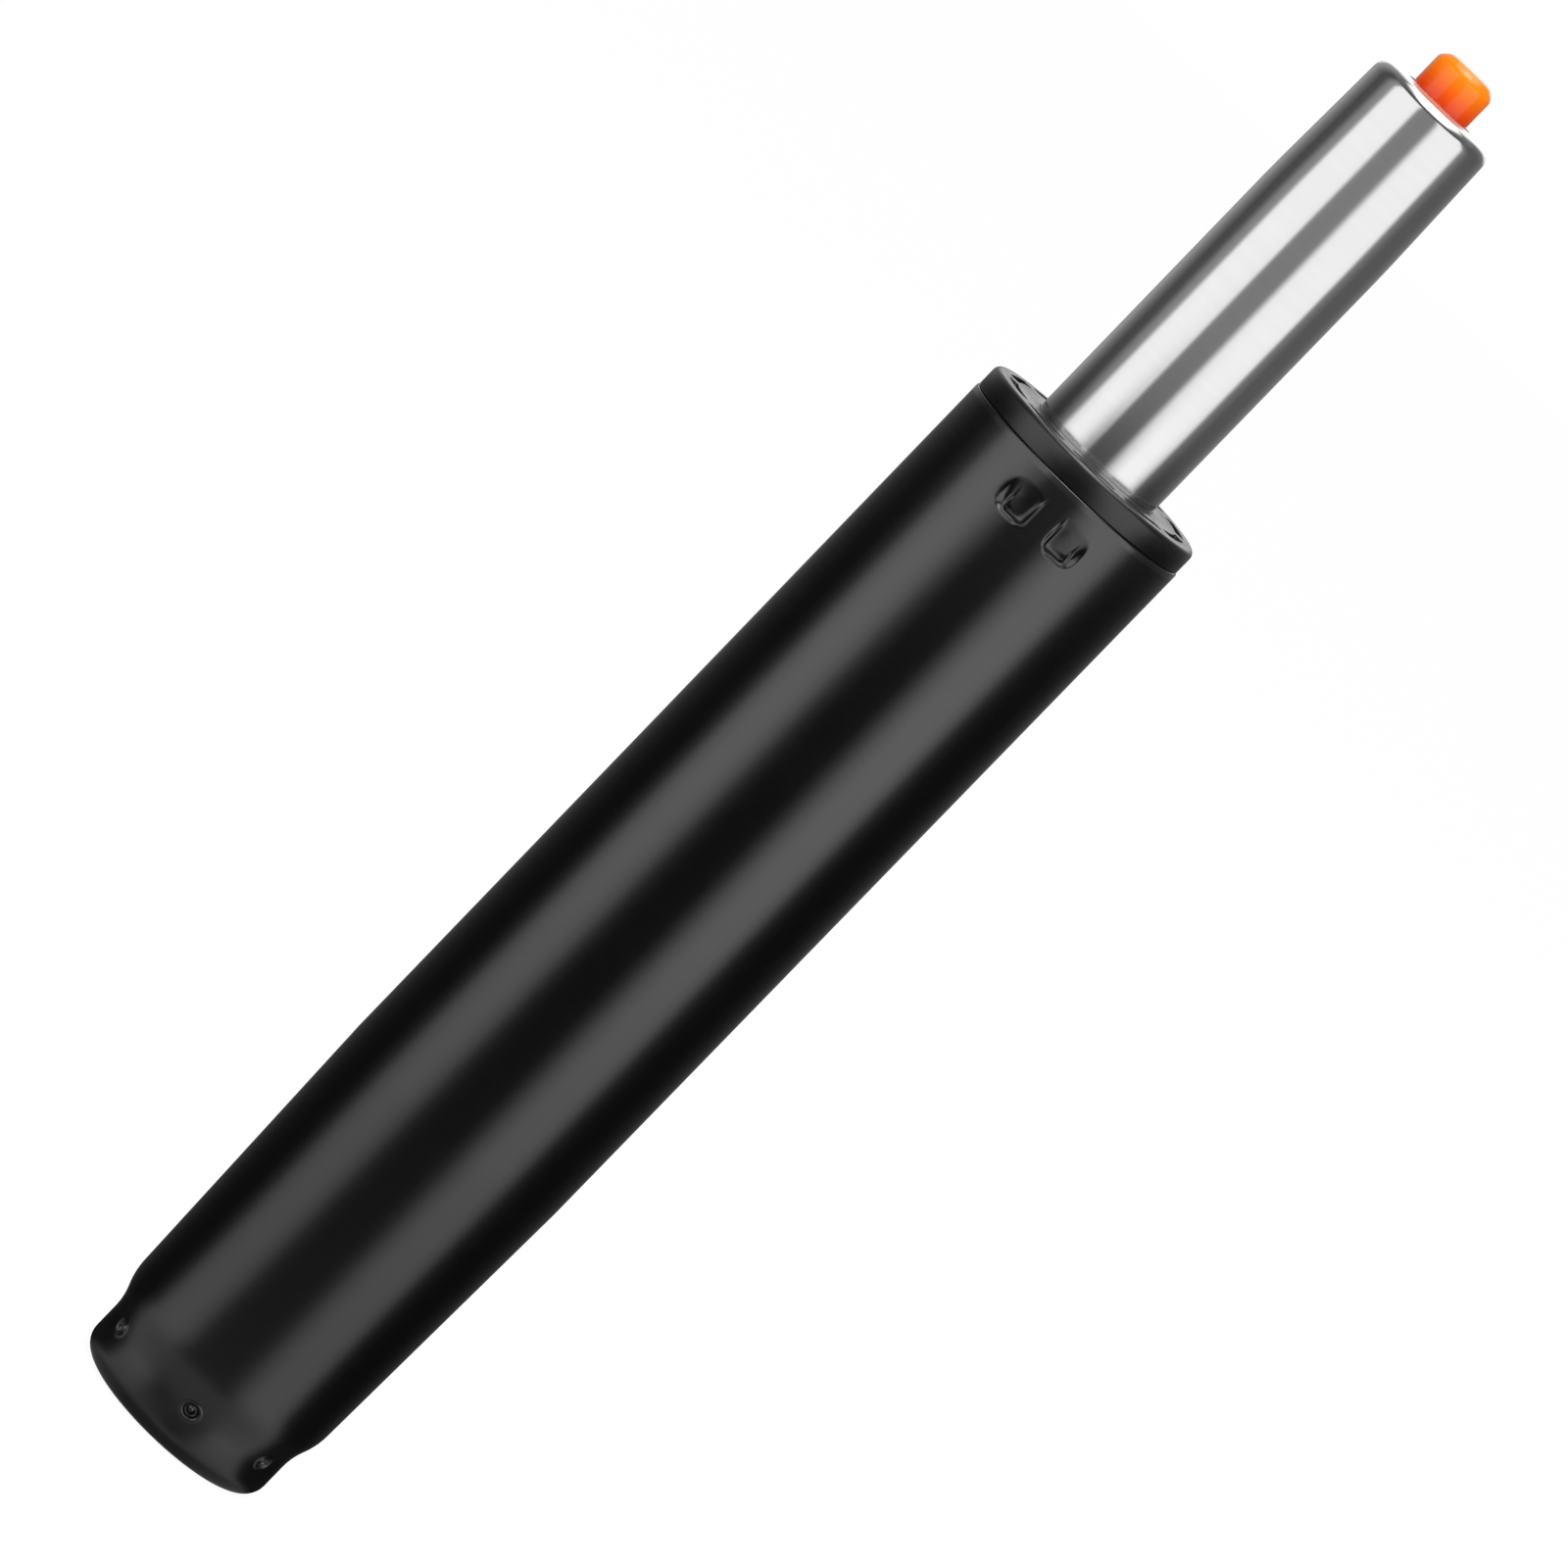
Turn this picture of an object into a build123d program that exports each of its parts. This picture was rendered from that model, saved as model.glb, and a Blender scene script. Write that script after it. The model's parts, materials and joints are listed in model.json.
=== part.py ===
from build123d import *
from math import cos, radians, sin
import os

# Chair gas lift cylinder, in millimetres. +Z runs up the lift's axis, and the origin is the centre of
# the foot rim, the plane that the standing column rests on. -Y is the side with the stakes in view.

# Sizes that several pieces share
cut_overrun = 2.0
running_gap = 0.05
seat_gap = 0.1
stop_gap = 0.3

# Travel: how far the pressure tube goes down and up from the height that it is modelled at
lift_down = 45.0
lift_up = 75.0
press_travel = 4.0

# Column tube
column_diameter = 50.0
column_wall = 2.0
column_length = 243.0
column_edge_chamfer = 0.4
foot_step = 3.5
foot_neck_height = 8.5
foot_shoulder_height = 10.5
foot_cone_length = 59.5
foot_corner_radius = 3.5
foot_lip_flat = 1.0
taper_ratio = 20.0

# Stakes: lanced dents that lock the guide sleeve, in a front and a back pair
stake_sides = 2
stake_half_angle = 12.0
stake_below_edge = 3.6
stake_height = 7.2
stake_width = 5.0
stake_depth = 1.5
stake_bulge = 1.3
stake_corner_radius = 1.0

# Punch marks at the foot: they lock the bottom plate
punch_count = 6
punch_height = 9.2
punch_diameter = 4.2
punch_depth = 0.9
punch_bulge_diameter = 3.0
punch_bulge = 1.0

# Guide sleeve
flange_inset = 0.25
flange_height = 5.0
flange_edge_radius = 1.4
sleeve_depth = 78.0
sleeve_fit = 0.12
sleeve_wall = 2.7
sleeve_top_band = 15.0
sleeve_end_band = 6.0
sleeve_lead_in = 1.0
rib_count = 10
rib_thickness = 2.4
rib_first_angle = 0.0
slot_rim_width = 3.0
slot_width = 1.7
slot_depth = 8.0
slot_rib_angle = 8.0
stake_pocket_gap = 0.3

# Bottom plate
plate_thickness = 7.4
plate_fit = 0.1
plate_edge_chamfer = 0.6
plate_groove_width = 3.9
plate_groove_depth = 1.6
plate_groove_height = 3.6
plate_dish_diameter = 20.0
plate_dish_depth = 0.4

# Thrust bearing
race_diameter = 23.4
race_thickness = 2.5
race_bore_gap = 0.25
race_edge_chamfer = 0.3
ball_count = 10
ball_diameter = 4.0
ball_pitch_radius = 8.6
raceway_radius = 2.1
raceway_depth = 0.7
ball_gap = 0.05
cage_thickness = 1.9
cage_inner_radius = 5.5
cage_outer_radius = 11.5
cage_pocket_gap = 0.15

# Piston rod and what is fixed to it
rod_diameter = 10.0
rod_foot_diameter = 8.0
rod_foot_below_clip = 1.6
rod_thread_diameter = 6.0
rod_thread_length = 19.5
rod_end_chamfer = 0.6
clip_thickness = 1.0
clip_groove_diameter = 6.0
clip_groove_gap = 0.1
clip_inner_radius = 4.6
clip_outer_radius = 6.6
clip_mouth = 5.4
clip_prong_width = 2.4
clip_washer_diameter = 17.0
clip_washer_thickness = 1.1
clip_washer_gap = 0.4
buffer_washer_diameter = 27.0
buffer_washer_thickness = 1.5
buffer_height = 10.0
buffer_diameter = 26.0
buffer_waist_diameter = 23.0
buffer_bore_gap = 0.2
piston_washer_diameter = 15.0
piston_washer_thickness = 1.5
piston_height = 10.0
piston_groove_height = 3.0
piston_groove_depth = 1.7
piston_edge_chamfer = 0.6
piston_nut_flats = 10.0
piston_nut_height = 5.0
piston_spare_travel = 15.0

# Pressure tube
tube_diameter = 28.0
tube_wall = 1.5
tube_length = 259.0
tube_cone_length = 28.3
tube_shoulder_radius = 2.8
tube_mouth_diameter = 16.0
tube_foot_radius = 2.2
tube_foot_opening = 21.0

# Inner tube, rod guide and rod seal
inner_tube_diameter = 21.5
inner_tube_wall = 1.0
guide_length = 18.0
guide_foot_chamfer = 1.2
guide_groove_height = 9.0
o_ring_section = 2.0
o_ring_groove_width = 2.5
rod_seal_height = 5.0
rod_seal_web = 2.0
rod_seal_lip = 1.7
retainer_thickness = 2.0
retainer_spigot = 2.0
retainer_slot_count = 4
retainer_slot_width = 2.4

# Valve at the upper end
valve_lower_length = 43.0
valve_gallery_height = 6.0
valve_spigot_length = 6.0
valve_seal_band = 9.5
valve_top_diameter = 22.2
valve_top_chamfer = 1.4
valve_port_count = 4
valve_port_diameter = 2.2
valve_pin_bore_gap = 0.5
pin_seal_section = 1.9
pin_bore_diameter = 7.2
pin_cap_thickness = 1.5

# Release button and pin
button_diameter = 12.7
button_proud = 8.8
button_length = 18.0
button_fit = 0.1
button_edge_radius = 1.8
button_crown = 0.5
button_bore_clearance = 0.5
pin_diameter = 3.2
pin_socket_depth = 6.0
pin_head_diameter = 6.4
pin_head_length = 2.5
pin_head_chamfer = 0.7

# Places worked out from the sizes above
column_radius = column_diameter / 2
column_bore = column_radius - column_wall
foot_neck_radius = column_radius - foot_step
foot_opening_radius = foot_neck_radius - foot_corner_radius - foot_lip_flat
flange_radius = column_radius - flange_inset
foot_cone_bottom = foot_neck_height + foot_shoulder_height
foot_cone_top = foot_cone_bottom + foot_cone_length
foot_cone_small_radius = column_radius - foot_cone_length / taper_ratio / 2
stake_top = column_length - stake_below_edge
stake_bottom = stake_top - stake_height

plate_radius = foot_neck_radius - column_wall - plate_fit
plate_bottom = punch_height - plate_groove_height
plate_top = plate_bottom + plate_thickness
lower_race_top = plate_top + race_thickness
ball_height = lower_race_top - raceway_depth + ball_gap + ball_diameter / 2
upper_race_bottom = ball_height + ball_diameter / 2 + ball_gap - raceway_depth
upper_race_top = upper_race_bottom + race_thickness
buffer_bottom = upper_race_top + buffer_washer_thickness
buffer_top = buffer_bottom + buffer_height
clip_top = plate_bottom - clip_washer_gap - clip_washer_thickness
clip_bottom = clip_top - clip_thickness
rod_foot_end = clip_bottom - rod_foot_below_clip

tube_radius = tube_diameter / 2
tube_bore = tube_radius - tube_wall
tube_bottom = buffer_top + stop_gap + lift_down
tube_top_height = tube_bottom + tube_length
tube_cone_bottom = tube_top_height - tube_cone_length
tube_top_radius = tube_radius - tube_cone_length / taper_ratio / 2
guide_bottom = tube_bottom + tube_wall
guide_top = guide_bottom + guide_length
rod_seal_top = guide_top + rod_seal_height
retainer_top = rod_seal_top + retainer_thickness
rod_top_height = retainer_top + retainer_spigot + lift_up + piston_spare_travel
inner_tube_radius = inner_tube_diameter / 2
inner_tube_bore = inner_tube_radius - inner_tube_wall
spigot_radius = inner_tube_bore - seat_gap
seated_radius = tube_bore - seat_gap

valve_top = tube_top_height - tube_wall
gallery_top = valve_top - valve_lower_length + valve_gallery_height
gallery_bottom = gallery_top - valve_gallery_height
valve_bottom = gallery_bottom - valve_spigot_length
seal_band_top = gallery_top + valve_seal_band
button_top = tube_top_height + button_proud
button_bottom = button_top - button_length
button_bore_bottom = button_bottom - press_travel - button_bore_clearance
pin_radius = pin_diameter / 2
pin_bore_radius = pin_bore_diameter / 2
pin_top = button_bottom + pin_socket_depth

up = (0, 0, 1)
on_floor = (Align.CENTER, Align.CENTER, Align.MIN)


def at(radius, height):
    """A point of an outline that is turned round the lift's axis."""
    return (radius, 0, height)


def turned(*curves):
    """The solid that a closed outline of curves makes when it is turned round the axis."""
    return revolve(make_face(Curve() + list(curves)), Axis.Z)


def turned_outline(points):
    """The solid that a closed outline of straight lines makes when it is turned round the axis."""
    return turned(Polyline(*[at(radius, height) for radius, height in points], close=True))


def disc(radius, bottom, top):
    """A plain round bar on the axis between two heights."""
    return Pos(0, 0, bottom) * Cylinder(radius, top - bottom, align=on_floor)


def ring(outer, inner, bottom, top):
    """A plain sleeve or washer on the axis between two heights."""
    return disc(outer, bottom, top) - disc(inner, bottom - cut_overrun, top + cut_overrun)


def o_ring(inner, section, height):
    """A ring of round section whose hole has the inner radius, centred on a height."""
    return Pos(0, 0, height) * Torus(inner + section / 2, section / 2)


def o_ring_groove(outer, height):
    """The cut for an O-ring in a round piece of the outer radius."""
    half = o_ring_groove_width / 2
    return ring(outer + cut_overrun, outer - o_ring_section, height - half, height + half)


def around(count, shape, first_angle=0.0):
    """Copies of a shape, evenly spaced round the axis."""
    return [Rot(0, 0, first_angle + 360.0 * i / count) * shape for i in range(count)]


def stake_angles():
    """Turns that take the front of the column to each stake."""
    return [
        360.0 * side / stake_sides + sign * stake_half_angle
        for side in range(stake_sides)
        for sign in (-1, 1)
    ]


def column_form(inset):
    """The column's solid form, drawn in by the inset: a neck, a smooth shoulder, a cone and a tube."""
    neck = foot_neck_radius - inset
    small = foot_cone_small_radius - inset
    full = column_radius - inset
    corner = foot_corner_radius - inset
    middle = at((neck + small) / 2, (foot_neck_height + foot_cone_bottom) / 2)
    neck_end = at(neck, foot_neck_height)
    cone_start = at(small, foot_cone_bottom)
    return turned(
        Line(at(0, inset), at(neck - corner, inset)),
        TangentArc(at(neck - corner, inset), at(neck, inset + corner), tangent=(1, 0, 0)),
        Line(at(neck, inset + corner), neck_end),
        TangentArc(neck_end, middle, tangent=up),
        TangentArc(cone_start, middle, tangent=(0, 0, -1)),
        Line(cone_start, at(full, foot_cone_top)),
        Line(at(full, foot_cone_top), at(full, column_length)),
        Line(at(full, column_length), at(0, column_length)),
        Line(at(0, column_length), at(0, inset)),
    )


def front_prism(points, width):
    """A prism at the front: its outline is given as distance from the axis and height."""
    outline = Polyline(*[(0, -distance, height) for distance, height in points], close=True)
    return extrude(make_face(outline), width / 2, dir=(1, 0, 0), both=True)


def stake_cut():
    """A dent that starts flush at its top and ends in a step, with rounded lower corners."""
    outside = column_radius + cut_overrun
    wedge = front_prism(
        [
            (outside, stake_top),
            (column_radius, stake_top),
            (column_radius - stake_depth, stake_bottom),
            (outside, stake_bottom),
        ],
        stake_width,
    )
    edges = wedge.edges().filter_by(Axis.Y).group_by(Axis.Z)[0]
    return fillet(edges, stake_corner_radius)


def stake_bump(growth):
    """The metal that a dent pushes inwards, grown by a gap where it is used as a pocket."""
    inside = column_bore - stake_bulge - growth
    root = column_bore + column_wall / 2
    foot = stake_bottom - growth
    return front_prism(
        [
            (root, stake_top + growth),
            (column_bore - growth, stake_top + growth),
            (inside, foot + column_wall / 2),
            (inside, foot),
            (root, foot),
        ],
        stake_width + 2 * growth,
    )


def radial_bar(radius, start, end, height):
    """A round bar that points outwards at the front, between two distances from the axis."""
    bar = Rot(90, 0, 0) * Cylinder(radius, end - start, align=on_floor)
    return Pos(0, -start, height) * bar


def make_column_tube():
    """Outer tube: swaged foot with a curled lip, stakes near the mouth, punch marks at the foot."""
    tube = column_form(0.0)
    tube = chamfer(tube.edges().filter_by(GeomType.CIRCLE).group_by(Axis.Z)[-1], column_edge_chamfer)
    tube -= column_form(column_wall)
    tube -= disc(foot_opening_radius, -cut_overrun, foot_neck_height)
    for angle in stake_angles():
        tube += Rot(0, 0, angle) * stake_bump(0.0)
        tube -= Rot(0, 0, angle) * stake_cut()
    neck_bore = foot_neck_radius - column_wall
    bulge = radial_bar(
        punch_bulge_diameter / 2, neck_bore - punch_bulge, neck_bore + column_wall / 2, punch_height
    )
    mark = radial_bar(
        punch_diameter / 2, foot_neck_radius - punch_depth, column_diameter, punch_height
    )
    for bump in around(punch_count, bulge):
        tube += bump
    for cut in around(punch_count, mark):
        tube -= cut
    return tube


def make_guide_sleeve():
    """Moulded bush: collar with a ring of slots, two full bands, and ribs between them."""
    body_radius = column_bore - sleeve_fit
    bore = tube_radius + running_gap
    sleeve_bottom = column_length - sleeve_depth
    flange_top = column_length + flange_height
    sleeve = disc(bore + sleeve_wall, sleeve_bottom, column_length)
    sleeve += disc(body_radius, column_length - sleeve_top_band, column_length)
    end_band = disc(body_radius, sleeve_bottom, sleeve_bottom + sleeve_end_band)
    sleeve += chamfer(end_band.edges().group_by(Axis.Z)[0], sleeve_lead_in)
    flange = disc(flange_radius, column_length, flange_top)
    sleeve += fillet(flange.edges().group_by(Axis.Z)[-1], flange_edge_radius)
    rib = Pos(bore + sleeve_wall / 2, 0, sleeve_bottom + sleeve_end_band / 2) * Box(
        body_radius - bore - sleeve_wall / 2,
        rib_thickness,
        sleeve_depth - sleeve_end_band / 2 - sleeve_top_band / 2,
        align=(Align.MIN, Align.CENTER, Align.MIN),
    )
    for one_rib in around(rib_count, rib, rib_first_angle):
        sleeve += one_rib
    sleeve -= disc(bore, sleeve_bottom - cut_overrun, flange_top + cut_overrun)
    mouth = bore + sleeve_lead_in
    sleeve -= turned_outline(
        [
            (0, sleeve_bottom - sleeve_lead_in),
            (mouth + sleeve_lead_in, sleeve_bottom - sleeve_lead_in),
            (bore, sleeve_bottom + sleeve_lead_in),
            (0, sleeve_bottom + sleeve_lead_in),
        ]
    )
    slot_bottom = flange_top - slot_depth
    slot_outer = flange_radius - slot_rim_width
    slot_band = ring(slot_outer, slot_outer - slot_width, slot_bottom, flange_top + cut_overrun)
    half_span = radians(360.0 / rib_count - slot_rib_angle) / 2
    reach = (column_diameter * cos(half_span), column_diameter * sin(half_span))
    wedge = make_face(Polyline((0, 0), (reach[0], -reach[1]), reach, close=True))
    slot = slot_band & Pos(0, 0, slot_bottom) * extrude(wedge, slot_depth + cut_overrun)
    for one_slot in around(rib_count, slot, rib_first_angle + 180.0 / rib_count):
        sleeve -= one_slot
    for angle in stake_angles():
        sleeve -= Rot(0, 0, angle) * stake_bump(stake_pocket_gap)
    return sleeve


def make_bottom_plate():
    """Turned plate that closes the foot, with a groove for the punch marks and a bearing seat."""
    plate = disc(plate_radius, plate_bottom, plate_top)
    plate = chamfer(plate.edges().filter_by(GeomType.CIRCLE), plate_edge_chamfer)
    half = plate_groove_width / 2
    plate -= ring(
        plate_radius + cut_overrun,
        plate_radius - plate_groove_depth,
        punch_height - half,
        punch_height + half,
    )
    plate -= disc(plate_dish_diameter / 2, plate_bottom - cut_overrun, plate_bottom + plate_dish_depth)
    return plate - disc(rod_foot_diameter / 2 + running_gap, -cut_overrun, plate_top + cut_overrun)


def make_race(bottom, groove_height):
    """Washer of the thrust bearing, with a round groove for the balls on the side that faces them."""
    race = disc(race_diameter / 2, bottom, bottom + race_thickness)
    race = chamfer(race.edges().filter_by(GeomType.CIRCLE), race_edge_chamfer)
    race -= disc(
        rod_foot_diameter / 2 + race_bore_gap, bottom - cut_overrun, bottom + race_thickness + cut_overrun
    )
    return race - Pos(0, 0, groove_height) * Torus(ball_pitch_radius, raceway_radius)


def make_ball_cage():
    """Flat ring with a round pocket for each ball."""
    cage = ring(
        cage_outer_radius,
        cage_inner_radius,
        ball_height - cage_thickness / 2,
        ball_height + cage_thickness / 2,
    )
    pocket = Pos(ball_pitch_radius, 0, ball_height) * Cylinder(
        ball_diameter / 2 + cage_pocket_gap, cage_thickness + cut_overrun
    )
    for one_pocket in around(ball_count, pocket):
        cage -= one_pocket
    return cage


def make_bearing_balls():
    """The bearing's balls, one in each pocket."""
    ball = Pos(ball_pitch_radius, 0, ball_height) * Sphere(ball_diameter / 2)
    return Compound(around(ball_count, ball))


def make_piston_rod():
    """Ground rod: a stepped foot with a clip groove, and a threaded spigot that carries the piston."""
    foot = rod_foot_diameter / 2
    rod = disc(foot, rod_foot_end, upper_race_top)
    rod = chamfer(rod.edges().group_by(Axis.Z)[0], rod_end_chamfer)
    rod += disc(rod_diameter / 2, upper_race_top, rod_top_height)
    spigot = disc(rod_thread_diameter / 2, rod_top_height, rod_top_height + rod_thread_length)
    rod += chamfer(spigot.edges().group_by(Axis.Z)[-1], rod_end_chamfer)
    return rod - ring(
        foot + cut_overrun,
        clip_groove_diameter / 2,
        clip_bottom - clip_groove_gap / 2,
        clip_top + clip_groove_gap / 2,
    )


def make_retaining_clip():
    """Open clip with three prongs that stand in the rod's groove."""
    clip = ring(clip_outer_radius, clip_inner_radius, clip_bottom, clip_top)
    prong = Pos(0, 0, clip_bottom) * Box(
        clip_inner_radius + clip_groove_gap,
        clip_prong_width,
        clip_thickness,
        align=(Align.MIN, Align.CENTER, Align.MIN),
    )
    for angle in (0.0, 90.0, 180.0):
        clip += Rot(0, 0, angle) * prong
    clip -= Pos(0, 0, clip_bottom) * Box(
        clip_mouth,
        clip_outer_radius + cut_overrun,
        clip_thickness,
        align=(Align.CENTER, Align.MAX, Align.MIN),
    )
    return clip - disc(
        clip_groove_diameter / 2 + running_gap, clip_bottom - cut_overrun, clip_top + cut_overrun
    )


def make_bump_stop():
    """Rubber buffer with a waist, which the pressure tube meets at the bottom of its travel."""
    bore = rod_diameter / 2 + buffer_bore_gap
    full = buffer_diameter / 2
    waist = buffer_waist_diameter / 2
    middle = (buffer_bottom + buffer_top) / 2
    edge = full - waist
    low = at(full, buffer_bottom + edge)
    high = at(full, buffer_top - edge)
    return turned(
        Polyline(at(full - edge / 2, buffer_bottom), at(bore, buffer_bottom), at(bore, buffer_top)),
        Line(at(bore, buffer_top), at(full - edge / 2, buffer_top)),
        Line(at(full - edge / 2, buffer_top), high),
        ThreePointArc(high, at(waist, middle), low),
        Line(low, at(full - edge / 2, buffer_bottom)),
    )


def make_piston():
    """Piston with a groove for its ring."""
    radius = inner_tube_bore - running_gap
    bottom = rod_top_height + piston_washer_thickness
    piston = disc(radius, bottom, bottom + piston_height)
    piston = chamfer(piston.edges().filter_by(GeomType.CIRCLE), piston_edge_chamfer)
    low = bottom + (piston_height - piston_groove_height) / 2
    piston -= ring(radius + cut_overrun, radius - piston_groove_depth, low, low + piston_groove_height)
    bore = rod_thread_diameter / 2 + running_gap
    return piston - disc(bore, bottom - cut_overrun, bottom + piston_height + cut_overrun)


def make_piston_ring():
    """Sealing ring in the piston's groove."""
    radius = inner_tube_bore - running_gap
    low = rod_top_height + piston_washer_thickness + (piston_height - piston_groove_height) / 2
    return ring(
        radius,
        radius - piston_groove_depth + running_gap,
        low + running_gap,
        low + piston_groove_height - running_gap,
    )


def make_piston_nut():
    """Hexagon nut on the rod's thread."""
    bottom = rod_top_height + piston_washer_thickness + piston_height
    nut = Pos(0, 0, bottom) * extrude(
        RegularPolygon(piston_nut_flats / 2, 6, major_radius=False), piston_nut_height
    )
    bore = rod_thread_diameter / 2 + running_gap
    return nut - disc(bore, bottom - cut_overrun, bottom + piston_nut_height + cut_overrun)


def tube_form(inset):
    """The pressure tube's solid form, drawn in by the inset: rolled foot, tube, cone and shoulder."""
    full = tube_radius - inset
    top = tube_top_radius - inset
    foot = tube_foot_radius - inset
    shoulder = tube_shoulder_radius - inset
    low = tube_bottom + inset
    high = tube_top_height - inset
    slope = (tube_radius - tube_top_radius) / tube_cone_length
    rim = top + slope * tube_shoulder_radius
    return turned(
        Line(at(0, low), at(full - foot, low)),
        TangentArc(at(full - foot, low), at(full, low + foot), tangent=(1, 0, 0)),
        Line(at(full, low + foot), at(full, tube_cone_bottom)),
        Line(at(full, tube_cone_bottom), at(rim, high - shoulder)),
        TangentArc(at(rim, high - shoulder), at(rim - shoulder, high), tangent=up),
        Line(at(rim - shoulder, high), at(0, high)),
        Line(at(0, high), at(0, low)),
    )


def make_pressure_tube():
    """Bright tube, rolled in at both ends, with the cone that a seat mechanism sits on."""
    tube = tube_form(0.0) - tube_form(tube_wall)
    tube -= disc(tube_mouth_diameter / 2, valve_top - cut_overrun, tube_top_height + cut_overrun)
    return tube - disc(tube_foot_opening / 2, tube_bottom - cut_overrun, guide_bottom + cut_overrun)


def make_rod_guide():
    """Bush that closes the pressure tube's lower end and guides the rod."""
    guide = disc(seated_radius, guide_bottom, guide_top)
    guide = chamfer(guide.edges().group_by(Axis.Z)[0], guide_foot_chamfer)
    guide -= o_ring_groove(seated_radius, guide_bottom + guide_groove_height)
    bore = rod_diameter / 2 + running_gap
    return guide - disc(bore, guide_bottom - cut_overrun, guide_top + cut_overrun)


def make_guide_o_ring():
    """O-ring in the rod guide's groove."""
    inner = seated_radius - o_ring_section + running_gap
    return o_ring(inner, o_ring_section - running_gap, guide_bottom + guide_groove_height)


def make_rod_seal():
    """Lip seal round the rod: a web with an outer and an inner lip that open towards the gas."""
    inner = rod_diameter / 2 + running_gap
    web_top = guide_top + rod_seal_web
    return turned_outline(
        [
            (inner, guide_top),
            (seated_radius, guide_top),
            (seated_radius, rod_seal_top),
            (seated_radius - rod_seal_lip, rod_seal_top),
            (seated_radius - 2 * rod_seal_lip, web_top),
            (inner + 2 * rod_seal_lip, web_top),
            (inner + rod_seal_lip, rod_seal_top),
            (inner, rod_seal_top),
        ]
    )


def make_seal_retainer():
    """Disc above the rod seal, whose slotted spigot centres the inner tube."""
    retainer = disc(seated_radius, rod_seal_top, retainer_top)
    retainer += disc(spigot_radius, retainer_top, retainer_top + retainer_spigot)
    bore = rod_diameter / 2 + buffer_bore_gap
    retainer -= disc(bore, rod_seal_top - cut_overrun, retainer_top + retainer_spigot + cut_overrun)
    slot = Pos(0, 0, retainer_top - retainer_thickness / 2) * Box(
        tube_radius,
        retainer_slot_width,
        retainer_thickness / 2 + retainer_spigot + cut_overrun,
        align=(Align.MIN, Align.CENTER, Align.MIN),
    )
    for one_slot in around(retainer_slot_count, slot):
        retainer -= one_slot
    return retainer


def make_valve_body():
    """Valve housing: inner tube spigot, gas gallery with ports, sealing band and button bore."""
    pin_gas_bore = pin_radius + valve_pin_bore_gap
    body = disc(spigot_radius, valve_bottom, gallery_bottom)
    body += disc(inner_tube_radius, gallery_bottom, gallery_top)
    body += disc(seated_radius, gallery_top, seal_band_top)
    head = disc(valve_top_diameter / 2, seal_band_top, valve_top)
    body += chamfer(head.edges().group_by(Axis.Z)[-1], valve_top_chamfer)
    for height in valve_o_ring_heights():
        body -= o_ring_groove(seated_radius, height)
    body -= disc(pin_gas_bore, valve_bottom - cut_overrun, valve_top)
    body -= disc(pin_bore_radius, gallery_top, valve_top)
    body -= disc(button_diameter / 2 + button_fit, button_bore_bottom, valve_top + cut_overrun)
    port = radial_bar(
        valve_port_diameter / 2, pin_radius, tube_radius, (gallery_bottom + gallery_top) / 2
    )
    for one_port in around(valve_port_count, port):
        body -= one_port
    return body


def valve_o_ring_heights():
    """Heights of the two O-rings in the valve body's sealing band."""
    pitch = valve_seal_band / 2
    return [gallery_top + pitch / 2 + i * pitch for i in range(2)]


def make_valve_o_rings():
    """The two O-rings round the valve body."""
    inner = seated_radius - o_ring_section + running_gap
    return Compound(
        [o_ring(inner, o_ring_section - running_gap, height) for height in valve_o_ring_heights()]
    )


def pin_seal_heights():
    """Heights of the lower and upper seal round the release pin."""
    half = pin_seal_section / 2
    return [gallery_top + half, button_bore_bottom - pin_cap_thickness - half]


def make_pin_seals():
    """The two seals round the release pin."""
    gap = (pin_bore_radius - pin_radius - pin_seal_section) / 2
    return Compound([o_ring(pin_radius + gap, pin_seal_section, height) for height in pin_seal_heights()])


def make_valve_spacer():
    """Sleeve that holds the two pin seals apart."""
    low, high = pin_seal_heights()
    half = pin_seal_section / 2
    return ring(pin_bore_radius - running_gap, pin_radius + seat_gap, low + half, high - half)


def make_seal_cap():
    """Washer that keeps the pin seals in, at the bottom of the button's bore."""
    return ring(
        pin_bore_radius - running_gap,
        pin_radius + seat_gap,
        button_bore_bottom - pin_cap_thickness,
        button_bore_bottom,
    )


def make_release_button():
    """Moulded plug with a rounded, slightly crowned top and a socket for the pin."""
    radius = button_diameter / 2
    rim = at(radius, button_top - button_crown - button_edge_radius)
    crown_edge = at(radius - button_edge_radius, button_top - button_crown)
    plug = turned(
        Line(at(0, button_bottom), at(radius, button_bottom)),
        Line(at(radius, button_bottom), rim),
        TangentArc(rim, crown_edge, tangent=up),
        TangentArc(at(0, button_top), crown_edge, tangent=(1, 0, 0)),
        Line(at(0, button_top), at(0, button_bottom)),
    )
    return plug - disc(pin_radius + running_gap, button_bottom - cut_overrun, pin_top)


def make_release_pin():
    """Pin from the button down to the valve head that closes the gas port."""
    head_top = valve_bottom - seat_gap
    pin = disc(pin_radius, head_top, pin_top)
    head = disc(pin_head_diameter / 2, head_top - pin_head_length, head_top)
    return pin + chamfer(head.edges().filter_by(GeomType.CIRCLE), pin_head_chamfer)


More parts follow.
